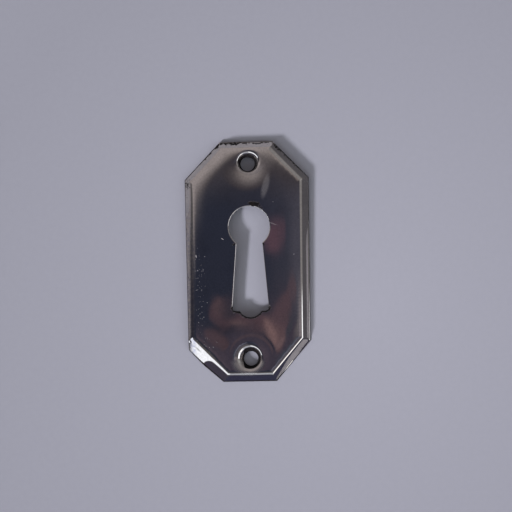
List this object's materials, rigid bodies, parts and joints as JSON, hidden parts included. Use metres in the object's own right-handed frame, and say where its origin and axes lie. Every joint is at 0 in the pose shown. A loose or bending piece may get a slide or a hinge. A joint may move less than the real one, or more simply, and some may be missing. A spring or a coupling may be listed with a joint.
{
  "type": "keyhole escutcheon",
  "caption": "Long octagonal keyhole plate pressed from thin plated sheet, with a bevelled skirt, a hollow back, a pierced keyhole and a dimpled screw hole at each end.",
  "frame": {"origin": "centre of the plane that the skirt's rim stands on", "axes": "+Z out of the face, +Y along the plate towards the round head of the keyhole, +X across the plate"},
  "size_m": [0.0256, 0.05, 0.0016],
  "materials": {
    "bright_plating": "old bright nickel plating over steel, scratched and pitted, with the plating lost along the rim"
  },
  "bodies": {
    "root": {"escutcheon_plate": "bright_plating"}
  },
  "joints": []
}
